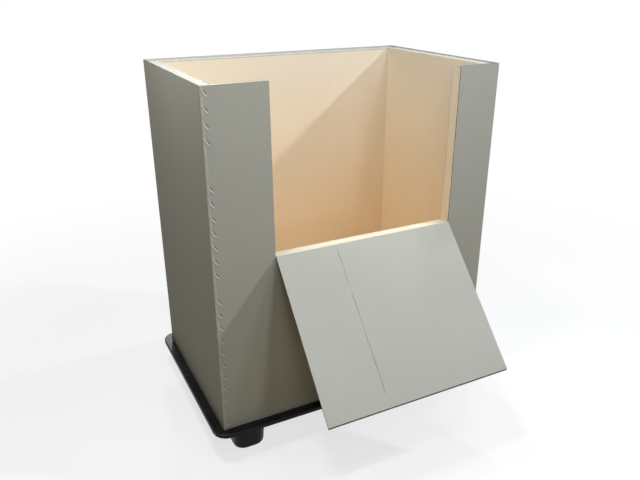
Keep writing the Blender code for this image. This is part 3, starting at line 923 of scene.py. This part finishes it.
def crease_grid(bm, layers, crease_x, low, top, inner_top):
    """The inner skin's grid round the crushed line. Returns the points along its top."""
    rows = round((top - low) / CREASE_ROW)
    columns = []
    for i in range(2 * CREASE_COLUMNS + 1):
        made = []
        for j in range(rows + 1):
            z = low + (inner_top - low) * j / rows
            x = crease_x - grid_reach + CREASE_STEP * i
            near = max(0.0, 1 - abs(x - crease_x - crease_wander(z)) / CREASE_HALF_WIDTH)
            press = 0.0 if i in (0, 2 * CREASE_COLUMNS) or j == rows else crease_press(z) * near
            place = (x * (1 + widening * (z - low) / (top - low)), BOARD - press, z)
            made.append(add_point(bm, layers, place, crease_x - grid_reach, 0.0))
        columns.append(made)
    for left, right in zip(columns, columns[1:]):
        add_strip(bm, left, right)
    return [made[-1] for made in columns]


print("The crushed line is", round(1000 * CREASE_REACH), "mm long")

# %% [markdown]
# ## Building the flap
#
# The flap is drawn shut, in the fold's own coordinates, with its flutes upright, and the whole object is then
# turned open about the fold. The knife that cut the free edge was held slanted, so the inner skin ends a few
# millimetres short and the edge looks dark from the front; its open cells carry painted shade as well. Both
# sides were cut along a flute, which now lies open between two exposed skins with painted shade on the web
# behind. Between those sides the sheet is drawn as the sleeve's board is, one strip for each flute. A solid
# with a bevel would be quicker, but its edges would look like a plate's.

# %% Build the flap
SLANT = 0.0045
STRIP_CLEAR = 0.001


def open_flap():
    bm, layers = new_sheet()
    low, top = SCORE / 2, sleeve_top - hinge_place.z
    inner_top = top - SLANT
    crease_x = -flap_half + CREASE_SHARE * 2 * flap_half
    flutes = round(2 * flap_half / FLUTE)
    xs = [-flap_half + 2 * flap_half * i / flutes for i in range(flutes + 1)]
    xs = [x for x in xs if abs(x - crease_x) > grid_reach + STRIP_CLEAR]
    first = sum(x < crease_x for x in xs)
    xs[first:first] = [crease_x - grid_reach, crease_x + grid_reach]
    outer, inner = [[column(bm, layers, Vector((x, y)), x, (low, end), spread=widening * x) for x in xs]
                    for y, end in ((0, top), (BOARD, inner_top))]
    crease_edge = crease_grid(bm, layers, crease_x, low, top, inner_top)
    for k in range(len(xs) - 1):
        add_strip(bm, outer[k], outer[k + 1])
        if k != first:
            add_strip(bm, inner[k], inner[k + 1])
        add_face(bm, [outer[k][0], inner[k][0], inner[k + 1][0], outer[k + 1][0]], 1)
        if 0 < k < len(xs) - 2:
            inner_edge = crease_edge if k == first else [inner[k][1], inner[k + 1][1]]
            draw_cell(bm, layers, [outer[k][1], outer[k + 1][1]], inner_edge, {})
    for end, web in ((0, 1), (-1, -2)):
        open_flute(bm, layers, outer[end], outer[web], inner[end], inner[web])
    close_sheet(bm)
    placed = Matrix.Translation(hinge_place) @ Matrix.Rotation(-door_shut, 4, "X")
    return add_piece("open_flap", bm, [grey_board, cut_board], "door", ["door_board"], placed)


open_flap()

# %% [markdown]
# ## The fold's skins
#
# The board isn't cut through at the fold. Its inner skin stretches in a small arc over the fold and its outer
# skin is pinched in a sharp crease behind it. Both are drawn at the open flap's turn: along the arc a point
# near the wall keeps the sleeve's place, a point near the flap takes the door's, and the ones between take a
# share of the turn. They ride on neither body.

# %% Draw a skin across the fold
FLUTE_SAMPLES = 4
SKIN_BARE = 0.2


def turned(y, z, share=1.0):
    """A point of the flap, given shut and relative to the fold, at the place where the open flap has it."""
    angle = -door_shut * share
    return Vector((y * math.cos(angle) - z * math.sin(angle), y * math.sin(angle) + z * math.cos(angle)))


def fold_strip(name, profile, thickness, pucker, stands_for=()):
    """A skin drawn across the flap's width from its profile, which is seen from the side."""
    bm, layers = new_sheet()
    columns = round(2 * flap_half / FLUTE) * FLUTE_SAMPLES
    n = len(profile)
    sheets = []
    for i in range(columns + 1):
        x = -flap_half + 2 * flap_half * i / columns
        swell = pucker * math.cos(2 * math.pi * x / FLUTE)
        ring = []
        for side in (0.0, thickness):
            for k, point in enumerate(profile):
                along = (profile[min(n - 1, k + 1)] - profile[max(0, k - 1)]).normalized()
                edge = 0.0 if k in (0, n - 1) else swell
                spot = point + Vector((along.y, -along.x)) * (edge - side)
                place = (hinge_place.x + x, hinge_place.y + spot.x, hinge_place.z + spot.y)
                ring.append(add_point(bm, layers, place, x, SKIN_BARE))
        sheets.append(ring)
    order = [*range(n), *reversed(range(n, 2 * n)), 0]
    for left, right in zip(sheets, sheets[1:]):
        for face in add_strip(bm, [left[k] for k in order], [right[k] for k in order]):
            face.smooth = True
    for ring in (sheets[0], sheets[-1]):
        add_strip(bm, ring[:n], ring[n:])
    close_sheet(bm)
    strip = add_piece(name, bm, [grey_board, cut_board], None, stands_for)
    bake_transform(strip)
    return strip


# %% Build the two skins
ARC_STEPS = 14
PUCKER = 0.00025

arc = [Vector((BOARD, -SCORE / 2)), *(turned(BOARD, 0.0, i / ARC_STEPS) for i in range(ARC_STEPS + 1)),
       turned(BOARD, SCORE / 2)]
fold_strip("stretched_skin", arc, SKIN, PUCKER, ["hinge_crease"])
pinch = [Vector((0.0, -SCORE / 2)), Vector((0.0, -SCORE / 4)), Vector((-SKIN / 4, 0.0)),
         turned(0.0, SCORE / 4), turned(0.0, SCORE / 2)]
fold_strip("pinched_skin", pinch, -SKIN, 0.0)

# %% [markdown]
# ## The floor
#
# A plain pale floor catches the box's shadow. The eye should see it nearly white, but light that bounces off
# a white floor would wash out the walls from below. So the material looks at the kind of ray with a Light
# Path node: rays from the camera see a pale floor that fades to plain white further away, and all the others
# meet a darker, warm one. The colour does this alone, with no light added to the box.

# %% Choose by the kind of ray
WHITE = (1, 1, 1, 1)


def seen_by_eye(tree):
    """A mask of the rays that see a background: from the camera, or by way of gloss or glass."""
    rays = add_node(tree, "ShaderNodeLightPath")
    mirrored = maths(tree, "MAXIMUM", rays.outputs["Is Glossy Ray"], rays.outputs["Is Transmission Ray"])
    return maths(tree, "MAXIMUM", rays.outputs["Is Camera Ray"], mirrored)


def mix_shaders(tree, mask, first, second):
    return add_node(tree, "ShaderNodeMixShader", {0: mask, 1: first.outputs[0], 2: second.outputs[0]})


# %% Floor
FLOOR_HALF = 30.0
SEEN_PALE, BOUNCE = (0.93, 0.93, 0.93, 1), (0.36, 0.29, 0.17, 1)
GLOW_NEAR = 0.72
CLEAR_FROM, CLEAR_TO = 1.0, 3.2

floor_finish, tree, shader = new_finish("studio floor")
tree.nodes.remove(shader)
away = add_node(tree, "ShaderNodeVectorMath", {0: object_place(tree)}, operation="LENGTH").outputs["Value"]
clear = add_node(tree, "ShaderNodeMapRange", {"Value": away, "From Min": CLEAR_FROM, "From Max": CLEAR_TO,
                 "To Min": GLOW_NEAR}, interpolation_type="SMOOTHSTEP").outputs[0]
pale = add_node(tree, "ShaderNodeBsdfDiffuse", {"Color": SEEN_PALE})
glow = add_node(tree, "ShaderNodeEmission", {"Color": WHITE, "Strength": 1.0})
bounce = add_node(tree, "ShaderNodeBsdfDiffuse", {"Color": BOUNCE})
chosen = mix_shaders(tree, seen_by_eye(tree), bounce, mix_shaders(tree, clear, pale, glow))
tree.links.new(chosen.outputs[0], tree.nodes["Material Output"].inputs["Surface"])

bm = bmesh.new()
bmesh.ops.create_grid(bm, x_segments=1, y_segments=1, size=FLOOR_HALF)
studio_floor = make_object("studio_floor", bm, [floor_finish])
print("Floor", 2 * FLOOR_HALF, "m wide")

# %% [markdown]
# ## The world
#
# Round the floor the eye sees plain white, while the box gets only a faint warm fill. There is one Background
# node for each, and the floor's mask of rays chooses between them.

# %% World
FILL_COLOUR, FILL_STRENGTH = (1.0, 0.97, 0.92, 1), 0.02

world = bpy.data.worlds.new("studio")
scene.world = world
world.use_nodes = True
tree = world.node_tree
fill = tree.nodes["Background"]
fill.inputs["Color"].default_value = FILL_COLOUR
fill.inputs["Strength"].default_value = FILL_STRENGTH
white = add_node(tree, "ShaderNodeBackground", {"Color": WHITE, "Strength": 1.0})
chosen = mix_shaders(tree, seen_by_eye(tree), fill, white)
tree.links.new(chosen.outputs[0], tree.nodes["World Output"].inputs["Surface"])
print("World fill strength", FILL_STRENGTH)

# %% [markdown]
# ## The lamps
#
# One big soft lamp would be the easy way, but it draws no shadow edges. Real boxes stand under several lamps:
# the walls inside show two crisp slanted edges, and every wall grows darker towards its foot. Small strong
# lamps high up draw those edges, a far one on the right lights the front, and weak ones close by even out
# the rest. The light from the right is cool and the light from the left is warm. The last lamp is for the
# sides that the camera doesn't see. Each row gives a lamp's name, place, width, power in watts and colour.

# %% Lamps
COOL, NEUTRAL, WARM = (0.85, 0.92, 1.0), (0.98, 0.99, 1.0), (1.0, 0.98, 0.86)
LAMPS = (("right_lamp", (4.0, -2.1, 4.11), 0.3, 152.0, COOL),
         ("overhead_lamp", (0.90, 0.1, 3.03), 0.12, 8.0, NEUTRAL),
         ("high_lamp", (1.2, -0.1, 4.3), 0.15, 21.5, NEUTRAL),
         ("top_left_lamp", (-0.9, -0.6, 3.4), 0.4, 30.0, NEUTRAL),
         ("side_lamp", (-1.0, -0.1, 2.2), 0.4, 7.4, WARM),
         ("near_lamp", (0.8, -1.6, 2.6), 0.7, 10.0, NEUTRAL),
         ("middle_lamp", (0.1, -1.8, 2.8), 0.5, 9.0, NEUTRAL),
         ("low_lamp", (-0.8, -2.4, 2.2), 0.7, 9.0, WARM),
         ("low_front_lamp", (0.4, -4.6, 2.0), 0.5, 12.0, NEUTRAL),
         ("back_lamp", (0.9, 4.8, 2.4), 0.8, 100.0, NEUTRAL))
AIM = Vector((0, 0, 0.9))

for name, spot, size, power, colour in LAMPS:
    light = bpy.data.lights.new(name, "AREA")
    light.shape = "DISK"
    light.size = size
    light.energy = power
    light.color = colour
    lamp = bpy.data.objects.new(name, light)
    lamp.location = spot
    lamp.rotation_euler = (AIM - lamp.location).to_track_quat("-Z", "Y").to_euler()
    scene.collection.objects.link(lamp)
print(len(LAMPS), "lamps")

# %% [markdown]
# ## The camera
#
# The camera looks from the front left, a little above the box's top. Its place, turn, lens and slight roll
# were worked out from where the box's edges should fall in the picture. A Track To constraint could aim it,
# but it would lose the roll, so the turn is written as three angles.

# %% Camera
CAMERA_PLACE = (-1.091, -2.1805, 1.650)
CAMERA_TURN, CAMERA_DROP, CAMERA_ROLL = math.radians(26.79), math.radians(22.63), math.radians(-0.157)
FOCAL_PIXELS, IMAGE_PIXELS, SENSOR = 634.5, 640, 36.0

camera_data = bpy.data.cameras.new("camera")
camera_data.sensor_width = SENSOR
camera_data.lens = FOCAL_PIXELS / IMAGE_PIXELS * SENSOR
camera_data.shift_x, camera_data.shift_y = 0.0009, 0.00055
camera = bpy.data.objects.new("camera", camera_data)
look = Matrix.Rotation(-CAMERA_TURN, 4, "Z") @ Matrix.Rotation(math.pi / 2 - CAMERA_DROP, 4, "X")
camera.matrix_world = Matrix.Translation(CAMERA_PLACE) @ look @ Matrix.Rotation(CAMERA_ROLL, 4, "Z")
scene.collection.objects.link(camera)
scene.camera = camera
scene.view_settings.view_transform = "Standard"
print("Lens", round(camera_data.lens, 2), "mm")
